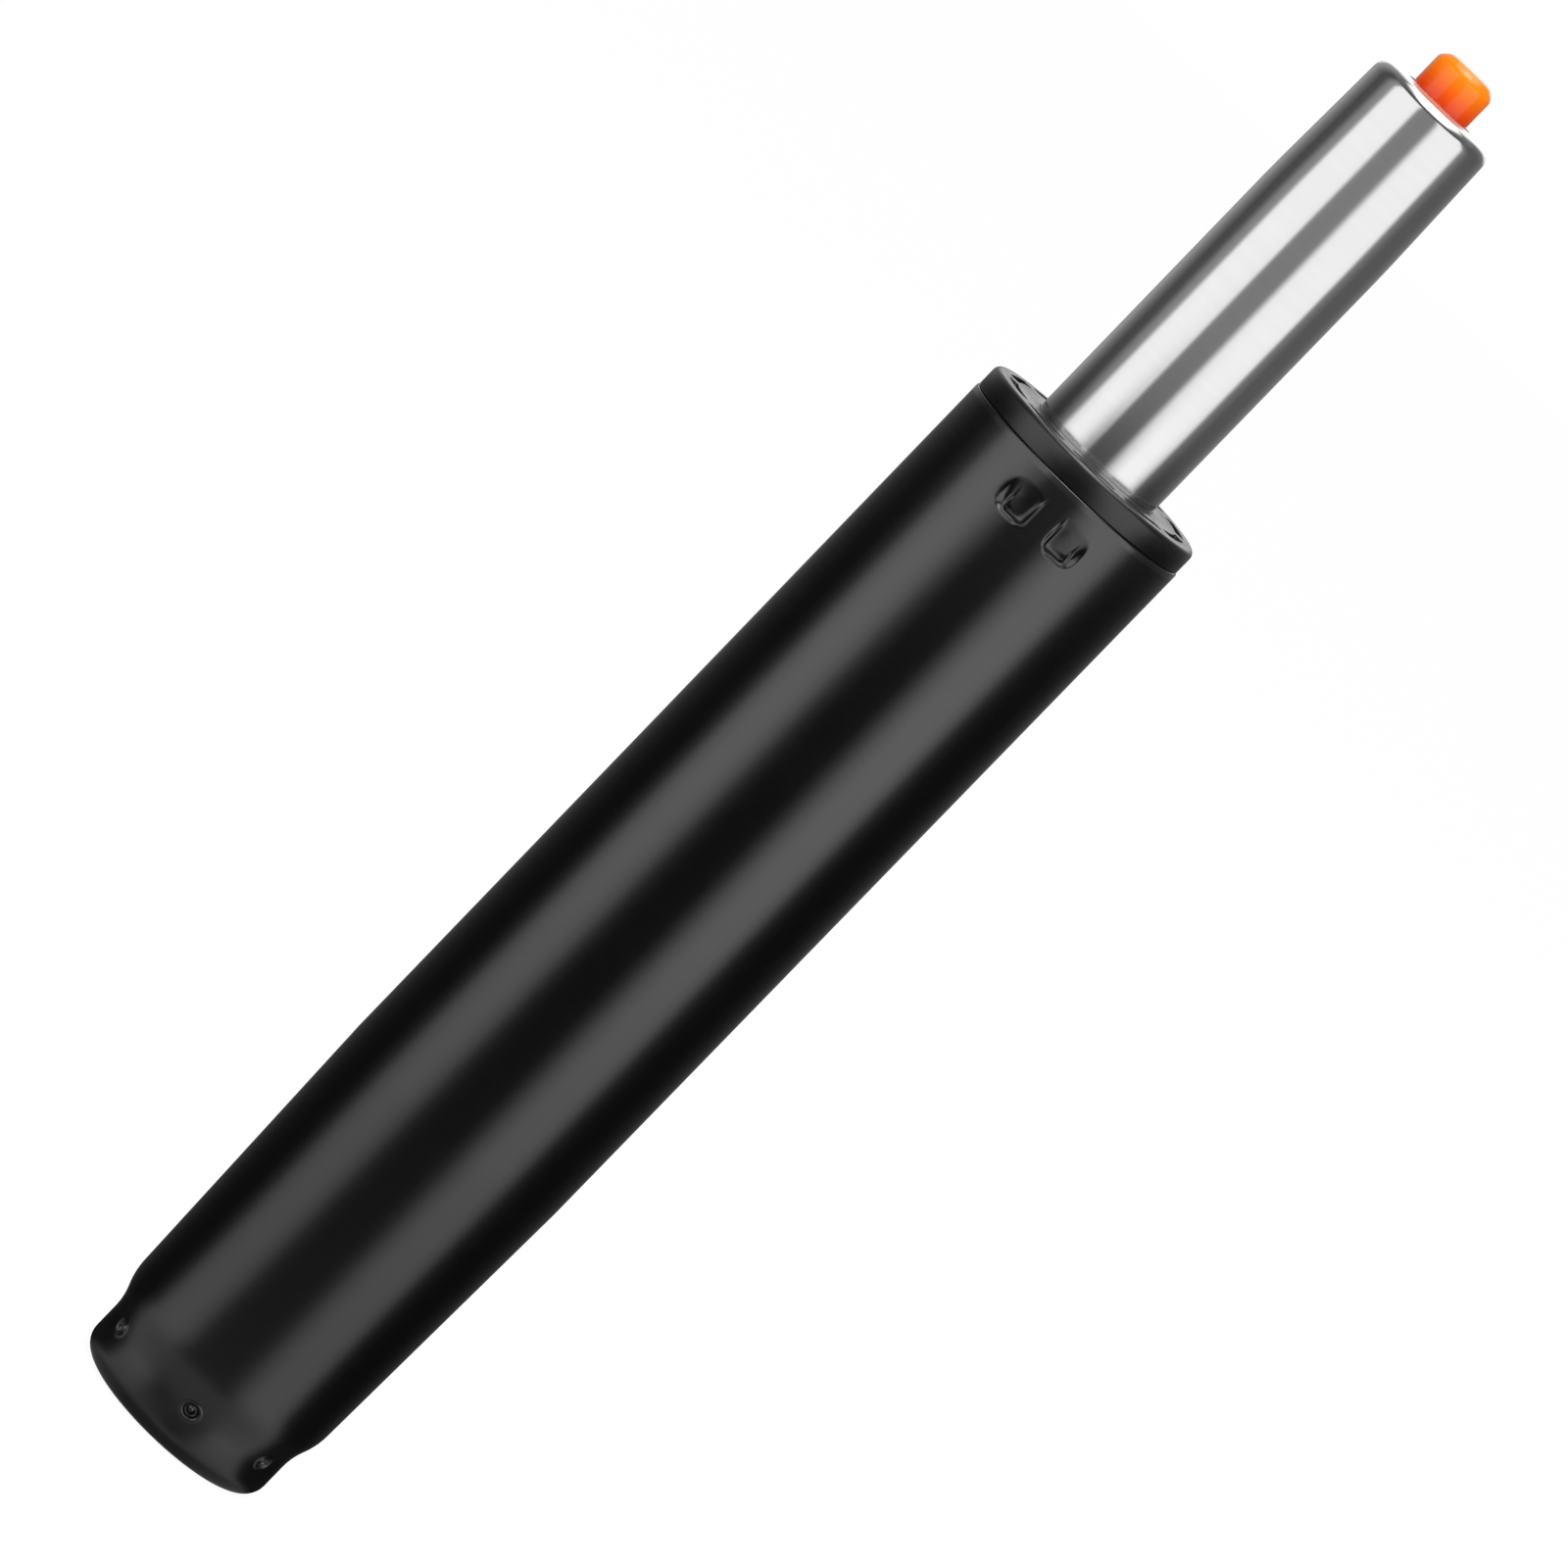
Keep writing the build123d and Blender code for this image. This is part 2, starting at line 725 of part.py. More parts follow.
pieces = {
    "column_tube": make_column_tube(),
    "guide_sleeve": make_guide_sleeve(),
    "bottom_plate": make_bottom_plate(),
    "bearing_lower_race": make_race(plate_top, lower_race_top - raceway_depth + raceway_radius),
    "ball_cage": make_ball_cage(),
    "bearing_balls": make_bearing_balls(),
    "bearing_upper_race": make_race(upper_race_bottom, upper_race_bottom + raceway_depth - raceway_radius),
    "piston_rod": make_piston_rod(),
    "retaining_clip": make_retaining_clip(),
    "clip_washer": ring(
        clip_washer_diameter / 2,
        rod_foot_diameter / 2 + running_gap,
        clip_top,
        clip_top + clip_washer_thickness,
    ),
    "buffer_washer": ring(
        buffer_washer_diameter / 2, rod_diameter / 2 + running_gap, upper_race_top, buffer_bottom
    ),
    "bump_stop": make_bump_stop(),
    "piston_washer": ring(
        piston_washer_diameter / 2,
        rod_thread_diameter / 2 + running_gap,
        rod_top_height,
        rod_top_height + piston_washer_thickness,
    ),
    "piston": make_piston(),
    "piston_ring": make_piston_ring(),
    "piston_nut": make_piston_nut(),
    "pressure_tube": make_pressure_tube(),
    "rod_guide": make_rod_guide(),
    "guide_o_ring": make_guide_o_ring(),
    "rod_seal": make_rod_seal(),
    "seal_retainer": make_seal_retainer(),
    "inner_tube": ring(inner_tube_radius, inner_tube_bore, retainer_top, gallery_bottom),
    "valve_body": make_valve_body(),
    "valve_o_rings": make_valve_o_rings(),
    "pin_seals": make_pin_seals(),
    "valve_spacer": make_valve_spacer(),
    "seal_cap": make_seal_cap(),
    "release_button": make_release_button(),
    "release_pin": make_release_pin(),
}

os.makedirs("parts", exist_ok=True)
for name, shape in pieces.items():
    export_step(shape, f"parts/{name}.step")
print("pieces", len(pieces))
print("height at rest", button_top, "lowest", button_top - lift_down, "highest", button_top + lift_up)
valve_low = valve_bottom - pin_head_length - press_travel - lift_down
print("room between the rod's end and the valve, lift down", valve_low - rod_top_height - rod_thread_length)
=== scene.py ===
# %% [markdown]
# # Dressing a chair gas lift over its CAD frame
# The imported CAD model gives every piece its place. This lesson keeps that frame and builds the looks round
# it: a camera, a small photo studio, four detailed pieces and a procedural finish for each part.
# The frame is loaded first, because everything else is measured from it. Its box is kept, so that the
# last cell can compare the dressed part with it.

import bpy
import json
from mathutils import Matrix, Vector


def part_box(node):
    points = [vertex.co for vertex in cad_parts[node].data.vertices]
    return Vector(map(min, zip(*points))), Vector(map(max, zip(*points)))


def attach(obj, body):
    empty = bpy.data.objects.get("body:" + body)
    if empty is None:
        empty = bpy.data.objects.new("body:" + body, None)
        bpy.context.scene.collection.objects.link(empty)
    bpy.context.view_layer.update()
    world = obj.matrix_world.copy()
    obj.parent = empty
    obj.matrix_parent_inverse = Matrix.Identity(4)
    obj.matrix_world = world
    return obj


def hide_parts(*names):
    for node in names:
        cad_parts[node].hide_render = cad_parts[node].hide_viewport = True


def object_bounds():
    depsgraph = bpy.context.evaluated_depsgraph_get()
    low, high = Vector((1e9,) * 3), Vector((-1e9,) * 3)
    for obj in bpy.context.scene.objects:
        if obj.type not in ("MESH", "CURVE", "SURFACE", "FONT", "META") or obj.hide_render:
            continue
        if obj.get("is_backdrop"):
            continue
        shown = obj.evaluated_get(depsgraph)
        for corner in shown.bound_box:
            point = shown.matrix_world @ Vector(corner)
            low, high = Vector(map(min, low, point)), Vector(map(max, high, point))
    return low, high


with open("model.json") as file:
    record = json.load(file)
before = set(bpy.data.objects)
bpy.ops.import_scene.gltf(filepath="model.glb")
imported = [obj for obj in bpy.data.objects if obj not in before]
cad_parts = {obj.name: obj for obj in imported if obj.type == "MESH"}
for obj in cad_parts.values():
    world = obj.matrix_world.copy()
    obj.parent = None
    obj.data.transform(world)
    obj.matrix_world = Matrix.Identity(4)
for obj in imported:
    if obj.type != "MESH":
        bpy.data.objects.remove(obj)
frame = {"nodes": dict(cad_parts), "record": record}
cad_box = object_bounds()

# %% Tools of the lesson
import json
from math import atan2, cos, degrees, exp, hypot, radians, sin, sqrt, tau

import bmesh
import bpy
from mathutils import Matrix, Vector

mm = 0.001
nodes = frame["nodes"]


def low_z(node):
    """Height of a CAD node's lowest point, in millimetres."""
    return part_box(node)[0].z / mm


def high_z(node):
    """Height of a CAD node's highest point, in millimetres."""
    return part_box(node)[1].z / mm


print("button from", round(low_z("release_button"), 2), "to", round(high_z("release_button"), 2), "mm")

# %% [markdown]
# ## The camera
# The lift stands upright, but the picture shows it lying on a slant. Turning the camera about its own line of
# sight gives that slant and leaves the part standing on its foot, as the frame needs.
# The ellipses of the collar and the foot tell how high the camera is: it looks down by 5 degrees at the
# collar and by 14 degrees at the foot, so it stands 1.56 m away and 0.39 m up, with a long lens.

# %% Place the camera
camera_distance = 1.559
camera_height = 0.392
camera_turn = radians(-3.0)
camera_roll = radians(44.05)
aim_height = 0.1651
aim_right = 0.0008
lens_mm = 198.3

eye = Vector((sin(camera_turn) * camera_distance, -cos(camera_turn) * camera_distance, camera_height))
level_right = Vector((cos(camera_turn), sin(camera_turn), 0))
aim = level_right * aim_right + Vector((0, 0, aim_height))
forward = (aim - eye).normalized()
level_up = level_right.cross(forward).normalized()
picture_up = level_up * cos(camera_roll) - level_right * sin(camera_roll)
picture_right = level_right * cos(camera_roll) + level_up * sin(camera_roll)

camera = bpy.data.objects.new("camera", bpy.data.cameras.new("camera"))
camera.data.lens = lens_mm
camera.data.sensor_width = 36.0
camera.data.clip_start = 0.01
camera.matrix_world = Matrix(
    (
        (picture_right.x, picture_up.x, -forward.x, eye.x),
        (picture_right.y, picture_up.y, -forward.y, eye.y),
        (picture_right.z, picture_up.z, -forward.z, eye.z),
        (0, 0, 0, 1),
    )
)
bpy.context.scene.collection.objects.link(camera)
bpy.context.scene.camera = camera
look_down = degrees(atan2(camera_height - aim_height, camera_distance))
print("camera looks down by", round(look_down, 2), "degrees")

# %% [markdown]
# ## The studio
# A polished tube shows its surroundings, so the studio matters as much as the steel. Two tall soft boxes
# stand left and right of the camera, with a grey gap between them and dark cards at the sides. The lamps give
# the light. A ring of cards round the part, which the camera can't see, gives the reflections.
# The ring's tone follows the direction seen from the part, and a ramp holds those tones in order.

# %% Small helpers for shader nodes
def new_node(tree, kind, **values):
    """A node of a kind in a tree, with its settings; a number as a name's value goes to that input."""
    node = tree.nodes.new(kind)
    for name, value in values.items():
        if hasattr(node, name):
            setattr(node, name, value)
        else:
            node.inputs[name.replace("_", " ")].default_value = value
    return node


def wire(tree, source, target):
    """Joins an output socket to an input socket."""
    tree.links.new(source, target)


def set_ramp(node, stops):
    """Gives a colour ramp its grey stops: a list of place and tone."""
    ramp = node.color_ramp
    while len(ramp.elements) > 1:
        ramp.elements.remove(ramp.elements[0])
    ramp.elements[0].position = stops[0][0]
    ramp.elements[0].color = (*[stops[0][1]] * 3, 1)
    for place, tone in stops[1:]:
        ramp.elements.new(place).color = (*[tone] * 3, 1)


def math(tree, operation, first, second=None):
    """A math node; each input is a number or a socket."""
    node = tree.nodes.new("ShaderNodeMath")
    node.operation = operation
    for socket, value in zip(node.inputs, (first, second)):
        if isinstance(value, bpy.types.NodeSocket):
            tree.links.new(value, socket)
        elif value is not None:
            socket.default_value = value
    return node.outputs[0]


def map_range(tree, value, **values):
    """A value carried from one range to another one; the settings are those of the node."""
    node = new_node(tree, "ShaderNodeMapRange", **values)
    wire(tree, value, node.inputs["Value"])
    return node.outputs[0]


def object_axes(tree):
    """The sockets X, Y and Z of a point's place in its object."""
    coords = new_node(tree, "ShaderNodeTexCoord")
    split = new_node(tree, "ShaderNodeSeparateXYZ")
    wire(tree, coords.outputs["Object"], split.inputs[0])
    return split.outputs


def from_axis(tree, axes):
    """Distance of the point from the lift's axis."""
    squares = [math(tree, "POWER", axes[name], 2.0) for name in ("X", "Y")]
    return math(tree, "SQRT", math(tree, "ADD", *squares))


# %% The world: a white room for the eye and for gloss, a plain level for matt colours
world = bpy.data.worlds.new("studio_room")
bpy.context.scene.world = world
world.use_nodes = True
tree = world.node_tree
tree.nodes.clear()
path = new_node(tree, "ShaderNodeLightPath")
seen = math(tree, "MAXIMUM", path.outputs["Is Camera Ray"], path.outputs["Is Glossy Ray"])
seen = math(tree, "MAXIMUM", seen, path.outputs["Is Transmission Ray"])
room_light = new_node(tree, "ShaderNodeBackground", Color=(1, 1, 1, 1), Strength=0.45)
room_white = new_node(tree, "ShaderNodeBackground", Color=(1, 1, 1, 1), Strength=1.0)
mix = new_node(tree, "ShaderNodeMixShader")
out = new_node(tree, "ShaderNodeOutputWorld")
wire(tree, seen, mix.inputs[0])
wire(tree, room_light.outputs[0], mix.inputs[1])
wire(tree, room_white.outputs[0], mix.inputs[2])
wire(tree, mix.outputs[0], out.inputs[0])

bpy.context.scene.view_settings.view_transform = "Standard"
print("room light", room_light.inputs["Strength"].default_value)


# %% Lamps: two tall soft boxes and one overhead
lift_middle = 0.17


def soft_box(name, azimuth, distance, height, size, power):
    """A rectangular lamp that faces the lift. Azimuth 0 is the camera's side, and it grows to the right."""
    lamp = bpy.data.lights.new(name, "AREA")
    lamp.shape = "RECTANGLE"
    lamp.size, lamp.size_y = size
    lamp.energy = power
    box = bpy.data.objects.new(name, lamp)
    angle = radians(azimuth) + camera_turn
    place = Vector((sin(angle) * distance, -cos(angle) * distance, height))
    towards_lift = Vector((0, 0, lift_middle)) - place
    turned = towards_lift.to_track_quat("-Z", "Y").to_matrix().to_4x4()
    box.matrix_world = Matrix.Translation(place) @ turned
    box.visible_camera = False
    box.visible_glossy = False
    bpy.context.scene.collection.objects.link(box)


soft_box("soft_box_left", -45, 0.9, 0.45, (0.7, 0.9), 4.2)
soft_box("soft_box_right", 54, 0.9, 0.45, (0.7, 0.9), 4.2)
soft_box("soft_box_above", 0, 0.35, 1.15, (0.9, 0.9), 5.0)

# %% The ring of cards that the gloss reflects
card_radius = 1.0
card_top = 1.85
card_segments = 96
above_floor = 0.0006
floor_share = 0.85
ring = bmesh.new()
bmesh.ops.create_circle(ring, cap_ends=True, radius=card_radius, segments=card_segments)
bmesh.ops.inset_region(ring, faces=ring.faces[:], thickness=card_radius * floor_share)
walls = bmesh.ops.extrude_edge_only(ring, edges=[e for e in ring.edges if e.is_boundary])
bmesh.ops.translate(
    ring, verts=[v for v in walls["geom"] if isinstance(v, bmesh.types.BMVert)], vec=(0, 0, card_top)
)
bmesh.ops.create_circle(
    ring,
    cap_ends=True,
    radius=card_radius,
    segments=card_segments,
    matrix=Matrix.Translation((0, 0, card_top)),
)
bmesh.ops.translate(ring, verts=ring.verts, vec=(0, 0, above_floor))
ring_mesh = bpy.data.meshes.new("studio_cards")
ring.to_mesh(ring_mesh)
ring.free()
cards = bpy.data.objects.new("studio_cards", ring_mesh)
bpy.context.scene.collection.objects.link(cards)
for sight in ("camera", "diffuse", "shadow", "transmission", "volume_scatter"):
    setattr(cards, "visible_" + sight, False)

card_paint = bpy.data.materials.new("studio_card_tones")
card_paint.use_nodes = True
tree = card_paint.node_tree
tree.nodes.clear()
axes = object_axes(tree)
across = math(tree, "ARCTAN2", axes["X"], math(tree, "MULTIPLY", axes["Y"], -1.0))
turn = math(tree, "ADD", math(tree, "DIVIDE", math(tree, "SUBTRACT", across, camera_turn), tau), 0.5)


def card_stops(tones):
    """Ramp stops from a list of azimuth in degrees and tone."""
    return [(0.5 + azimuth / 360, tone / 2) for azimuth, tone in tones]


upper_tones = new_node(tree, "ShaderNodeValToRGB")
set_ramp(
    upper_tones,
    card_stops(
        [
            (-180, 0.22), (-165, 0.34), (-150, 0.38), (-128, 0.2), (-112, 0.085), (-98, 0.1),
            (-86, 0.3), (-76, 0.36), (-70, 1.25), (-21, 1.25), (-17, 0.28), (15, 0.28), (24, 1.25),
            (76, 1.25), (82, 0.25), (100, 0.13), (125, 0.13), (151, 0.2), (165, 0.3), (180, 0.22),
        ]
    ),
)
lower_tones = new_node(tree, "ShaderNodeValToRGB")
set_ramp(
    lower_tones,
    card_stops(
        [
            (-180, 0.3), (-160, 0.14), (-124, 0.05), (-103, 0.01), (-90, 0.01), (-80, 0.15),
            (-69, 1.0), (-57, 1.3), (-44, 1.25), (-35, 0.9), (-25, 0.12), (-16, 0.0), (13, 0.0),
            (21, 0.2), (32, 0.98), (42, 1.35), (62, 1.3), (70, 0.9), (78, 0.1), (90, 0.01),
            (112, 0.01), (126, 0.035), (160, 0.13), (180, 0.3),
        ]
    ),
)
high_tones = new_node(tree, "ShaderNodeValToRGB")
set_ramp(
    high_tones,
    card_stops([(-168, 1.6), (-148, 0.25), (-60, 0.08), (60, 0.08), (148, 0.25), (168, 1.6)]),
)
back_tones = new_node(tree, "ShaderNodeValToRGB")
set_ramp(
    back_tones,
    card_stops([(-174, 1.6), (-164, 0.9), (-152, 0.0), (152, 0.0), (164, 0.9), (174, 1.6)]),
)
front_mask = new_node(tree, "ShaderNodeValToRGB")
set_ramp(
    front_mask,
    card_stops(
        [(-180, 0.6), (-120, 0.1), (-88, 0.2), (-68, 2.0), (68, 2.0), (84, 0.2), (120, 0.1), (180, 0.6)]
    ),
)
for ramp in (upper_tones, lower_tones, high_tones, back_tones, front_mask):
    wire(tree, turn, ramp.inputs[0])

# %% Tones change with height on the wall and with distance on the floor
def blend_at(value, low, high, first, second):
    """Goes from the first tone to the second one while the value goes from low to high."""
    blend = new_node(tree, "ShaderNodeMix", data_type="RGBA")
    wire(tree, map_range(tree, value, From_Min=low, From_Max=high), blend.inputs["Factor"])
    wire(tree, first, blend.inputs[6])
    wire(tree, second, blend.inputs[7])
    return blend.outputs[2]


height = axes["Z"]
side_tone = blend_at(height, 0.152, 0.16, lower_tones.outputs[0], upper_tones.outputs[0])
lit_back = math(tree, "MAXIMUM", side_tone, back_tones.outputs[0])
side_tone = blend_at(height, 0.38, 0.42, side_tone, lit_back)
side_tone = blend_at(height, 1.12, 1.2, side_tone, high_tones.outputs[0])
reach = from_axis(tree, axes)
floor_gain = new_node(tree, "ShaderNodeValToRGB")
set_ramp(
    floor_gain,
    [
        (0.028, 0.05), (0.036, 0.14), (0.05, 0.38), (0.08, 0.48), (0.13, 0.5), (0.32, 0.62), (0.84, 0.85),
        (1.0, 1.0),
    ],
)
floor_lift = new_node(tree, "ShaderNodeValToRGB")
set_ramp(
    floor_lift,
    [
        (0.023, 0.05), (0.025, 0.11), (0.03, 0.15), (0.036, 0.14), (0.05, 0.07), (0.08, 0.055), (0.13, 0.04),
        (0.32, 0.02), (1, 0),
    ],
)
for ramp in (floor_gain, floor_lift):
    wire(tree, reach, ramp.inputs[0])
tone = math(tree, "MULTIPLY", side_tone, floor_gain.outputs[0])
tone = math(tree, "ADD", tone, math(tree, "MULTIPLY", floor_lift.outputs[0], front_mask.outputs[0]))
sideways = math(tree, "ABSOLUTE", axes["X"])
overhead = map_range(tree, sideways, From_Min=0.5, From_Max=0.85, To_Min=1.2, To_Max=0.15)
overhead_patch = map_range(tree, reach, From_Min=0.22, From_Max=0.42, To_Min=1.8, To_Max=0.0)
overhead_tone = math(tree, "ADD", overhead, overhead_patch)
tone = blend_at(height, card_top - 0.02, card_top - 0.01, tone, overhead_tone)
glow = new_node(tree, "ShaderNodeEmission", Color=(1, 1, 1, 1))
wire(tree, math(tree, "MULTIPLY", tone, 2.0), glow.inputs["Strength"])
out = new_node(tree, "ShaderNodeOutputMaterial")
wire(tree, glow.outputs[0], out.inputs[0])
cards.data.materials.append(card_paint)
cards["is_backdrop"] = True
print("card ring", len(cards.data.polygons), "faces")

# %% The floor: pale, seen from above only, and it keeps a soft shadow
floor_form = bmesh.new()
bmesh.ops.create_grid(floor_form, x_segments=1, y_segments=1, size=6.0)
floor_mesh = bpy.data.meshes.new("studio_floor")
floor_form.to_mesh(floor_mesh)
floor_form.free()
floor = bpy.data.objects.new("studio_floor", floor_mesh)
bpy.context.scene.collection.objects.link(floor)
floor_paint = bpy.data.materials.new("studio_floor_paint")
floor_paint.use_nodes = True
tree = floor_paint.node_tree
tree.nodes.clear()
path = new_node(tree, "ShaderNodeLightPath")
side = new_node(tree, "ShaderNodeNewGeometry")
matt = new_node(tree, "ShaderNodeBsdfDiffuse", Color=(0.8, 0.8, 0.8, 1))
lit = new_node(tree, "ShaderNodeEmission", Color=(1, 1, 1, 1), Strength=1.15)
clear = new_node(tree, "ShaderNodeBsdfTransparent")
keep_shadow = new_node(tree, "ShaderNodeMixShader")
under = new_node(tree, "ShaderNodeMixShader")
out = new_node(tree, "ShaderNodeOutputMaterial")
wire(tree, math(tree, "MULTIPLY", path.outputs["Is Camera Ray"], 0.8), keep_shadow.inputs[0])
wire(tree, matt.outputs[0], keep_shadow.inputs[1])
wire(tree, lit.outputs[0], keep_shadow.inputs[2])
wire(tree, side.outputs["Backfacing"], under.inputs[0])
wire(tree, keep_shadow.outputs[0], under.inputs[1])
wire(tree, clear.outputs[0], under.inputs[2])
wire(tree, under.outputs[0], out.inputs[0])
floor.data.materials.append(floor_paint)
floor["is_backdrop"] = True
print("floor", round(floor.dimensions.x, 1), "m wide")

# %% [markdown]
# ## Effects that several finishes share
# Each effect is a node group: it is built once and put into each material with that material's own values.
# The groups give out masks and heights, and the shader itself stays in the material.
# Grain is fine noise, for paint and moulded plastic. Turning marks are fine lines that run round the axis, as
# a lathe or a grinder leaves them. Handling is a slow, faint change of gloss.

# %% Build the effect groups
def new_group(name, inputs, outputs):
    """An empty shader group with named inputs (name, value) and named outputs."""
    group = bpy.data.node_groups.new(name, "ShaderNodeTree")
    for title, value in inputs:
        socket = group.interface.new_socket(title, in_out="INPUT", socket_type="NodeSocketFloat")
        socket.default_value = value
    for title in outputs:
        group.interface.new_socket(title, in_out="OUTPUT", socket_type="NodeSocketFloat")
    return group, group.nodes.new("NodeGroupInput"), group.nodes.new("NodeGroupOutput")


def noise(tree, vector, scale, detail=2.0, roughness=0.5):
    """Value of a noise texture on a vector."""
    node = new_node(tree, "ShaderNodeTexNoise", Detail=detail, Roughness=roughness)
    tree.links.new(vector, node.inputs["Vector"])
    if isinstance(scale, bpy.types.NodeSocket):
        tree.links.new(scale, node.inputs["Scale"])
    else:
        node.inputs["Scale"].default_value = scale
    return node.outputs[0]


two_outputs = ["Height", "Mask"]
grain_group, start, end = new_group("surface_grain", [("Scale", 2000.0), ("Waviness", 0.5)], two_outputs)
coords = new_node(grain_group, "ShaderNodeTexCoord")
fine = noise(grain_group, coords.outputs["Object"], start.outputs["Scale"], 3.0, 0.6)
slow_scale = math(grain_group, "MULTIPLY", start.outputs["Scale"], 0.18)
slow = noise(grain_group, coords.outputs["Object"], slow_scale, 2.0)
wave = math(grain_group, "MULTIPLY", slow, start.outputs["Waviness"])
wire(grain_group, math(grain_group, "ADD", fine, wave), end.inputs["Height"])
wire(grain_group, slow, end.inputs["Mask"])

turning_group, start, end = new_group("turning_marks", [("Pitch", 6000.0), ("Breaks", 12.0)], two_outputs)
axes = object_axes(turning_group)
radius = from_axis(turning_group, axes)
angle = math(turning_group, "ABSOLUTE", math(turning_group, "ARCTAN2", axes["Y"], axes["X"]))
breaks = math(turning_group, "MULTIPLY", start.outputs["Breaks"], 0.1)
lines = new_node(turning_group, "ShaderNodeCombineXYZ")
for place, value, factor in (
    ("X", radius, start.outputs["Pitch"]),
    ("Y", angle, breaks),
    ("Z", axes["Z"], start.outputs["Pitch"]),
):
    wire(turning_group, math(turning_group, "MULTIPLY", value, factor), lines.inputs[place])
rings = noise(turning_group, lines.outputs[0], 1.0, 2.0, 0.7)
broad = noise(turning_group, lines.outputs[0], 0.07, 2.0)
wire(turning_group, rings, end.inputs["Height"])
wire(turning_group, broad, end.inputs["Mask"])

handling_group, start, end = new_group("handling", [("Scale", 60.0), ("Contrast", 2.0)], ["Mask"])
coords = new_node(handling_group, "ShaderNodeTexCoord")
cloud = noise(handling_group, coords.outputs["Object"], start.outputs["Scale"], 4.0, 0.62)
centred = math(handling_group, "SUBTRACT", cloud, 0.5)
stretched = math(handling_group, "MULTIPLY", centred, start.outputs["Contrast"])
spread = math(handling_group, "ADD", stretched, 0.5)
held = new_node(handling_group, "ShaderNodeClamp")
wire(handling_group, spread, held.inputs[0])
wire(handling_group, held.outputs[0], end.inputs["Mask"])

end_group, start, end = new_group("end_faces", [("Low", 0.9), ("High", 0.98)], ["Mask"])
facing = new_node(end_group, "ShaderNodeNewGeometry")
split = new_node(end_group, "ShaderNodeSeparateXYZ")
wire(end_group, facing.outputs["Normal"], split.inputs[0])
flat = new_node(end_group, "ShaderNodeMapRange")
wire(end_group, math(end_group, "ABSOLUTE", split.outputs["Z"]), flat.inputs["Value"])
wire(end_group, start.outputs["Low"], flat.inputs["From Min"])
wire(end_group, start.outputs["High"], flat.inputs["From Max"])
wire(end_group, flat.outputs[0], end.inputs["Mask"])

height_group, start, end = new_group("height_fade", [("Low", 0.0), ("High", 0.1)], ["Mask"])
fade = new_node(height_group, "ShaderNodeMapRange", interpolation_type="SMOOTHSTEP")
wire(height_group, object_axes(height_group)["Z"], fade.inputs["Value"])
wire(height_group, start.outputs["Low"], fade.inputs["From Min"])
wire(height_group, start.outputs["High"], fade.inputs["From Max"])
wire(height_group, fade.outputs[0], end.inputs["Mask"])
print("groups", [g.name for g in bpy.data.node_groups])

# %% [markdown]
# ## Finishes
# Each finish starts from a plain shader with its own fixed values. Then a few lines add what the eye
# sees on the real surface: which effect stirs the colour, which one stirs the gloss, and which one raises
# a fine relief. The strengths stay small, because these surfaces are new and clean.

# %% A finish from plain values and effects
def new_finish(name, colour, roughness, metallic=0.0, **sockets):
    """A material with its shader's plain values set; sockets are further inputs of the shader."""
    made = bpy.data.materials.new(name)
    made.use_nodes = True
    shader = made.node_tree.nodes["Principled BSDF"]
    shader.inputs["Base Color"].default_value = (*colour, 1)
    shader.inputs["Roughness"].default_value = roughness
    shader.inputs["Metallic"].default_value = metallic
    for title, value in sockets.items():
        shader.inputs[title.replace("_", " ")].default_value = value
    return made


def effect(made, group, **values):
    """A copy of an effect group in a material, with its values; gives back its outputs."""
    node = made.node_tree.nodes.new("ShaderNodeGroup")
    node.node_tree = group
    for title, value in values.items():
        node.inputs[title].default_value = value
    return node.outputs


def vary_colour(made, mask, dark, light):
    """The mask mixes two colours into the base colour."""
    tree = made.node_tree
    blend = new_node(tree, "ShaderNodeMix", data_type="RGBA")
    blend.inputs[6].default_value = (*dark, 1)
    blend.inputs[7].default_value = (*light, 1)
    wire(tree, mask, blend.inputs["Factor"])
    wire(tree, blend.outputs[2], tree.nodes["Principled BSDF"].inputs["Base Color"])


def vary_gloss(made, mask, smooth, rough, ends=None, end_step=0.0):
    """The mask moves the roughness between two values; where the ends mask is 1, a step is added."""
    tree = made.node_tree
    value = map_range(tree, mask, To_Min=smooth, To_Max=rough)
    if ends is not None:
        value = math(tree, "ADD", value, math(tree, "MULTIPLY", ends, end_step))
    wire(tree, value, tree.nodes["Principled BSDF"].inputs["Roughness"])


def raise_relief(made, height, depth, strength=1.0):
    """The height becomes a bump of the given depth in metres."""
    tree = made.node_tree
    bump = new_node(tree, "ShaderNodeBump", Strength=strength, Distance=depth)
    wire(tree, height, bump.inputs["Height"])
    wire(tree, bump.outputs[0], tree.nodes["Principled BSDF"].inputs["Normal"])


# %% Painted column
black_paint = new_finish("black_stove_paint", (0.002, 0.002, 0.0021), 0.21, Specular_IOR_Level=1.0)
grain = effect(black_paint, grain_group, Scale=2600.0, Waviness=0.8)
touch = effect(black_paint, handling_group, Scale=45.0, Contrast=1.6)
vary_colour(black_paint, grain["Mask"], (0.0012, 0.0012, 0.0013), (0.0026, 0.0026, 0.0027))
vary_gloss(black_paint, touch["Mask"], 0.18, 0.21)
raise_relief(black_paint, grain["Height"], 0.000003)

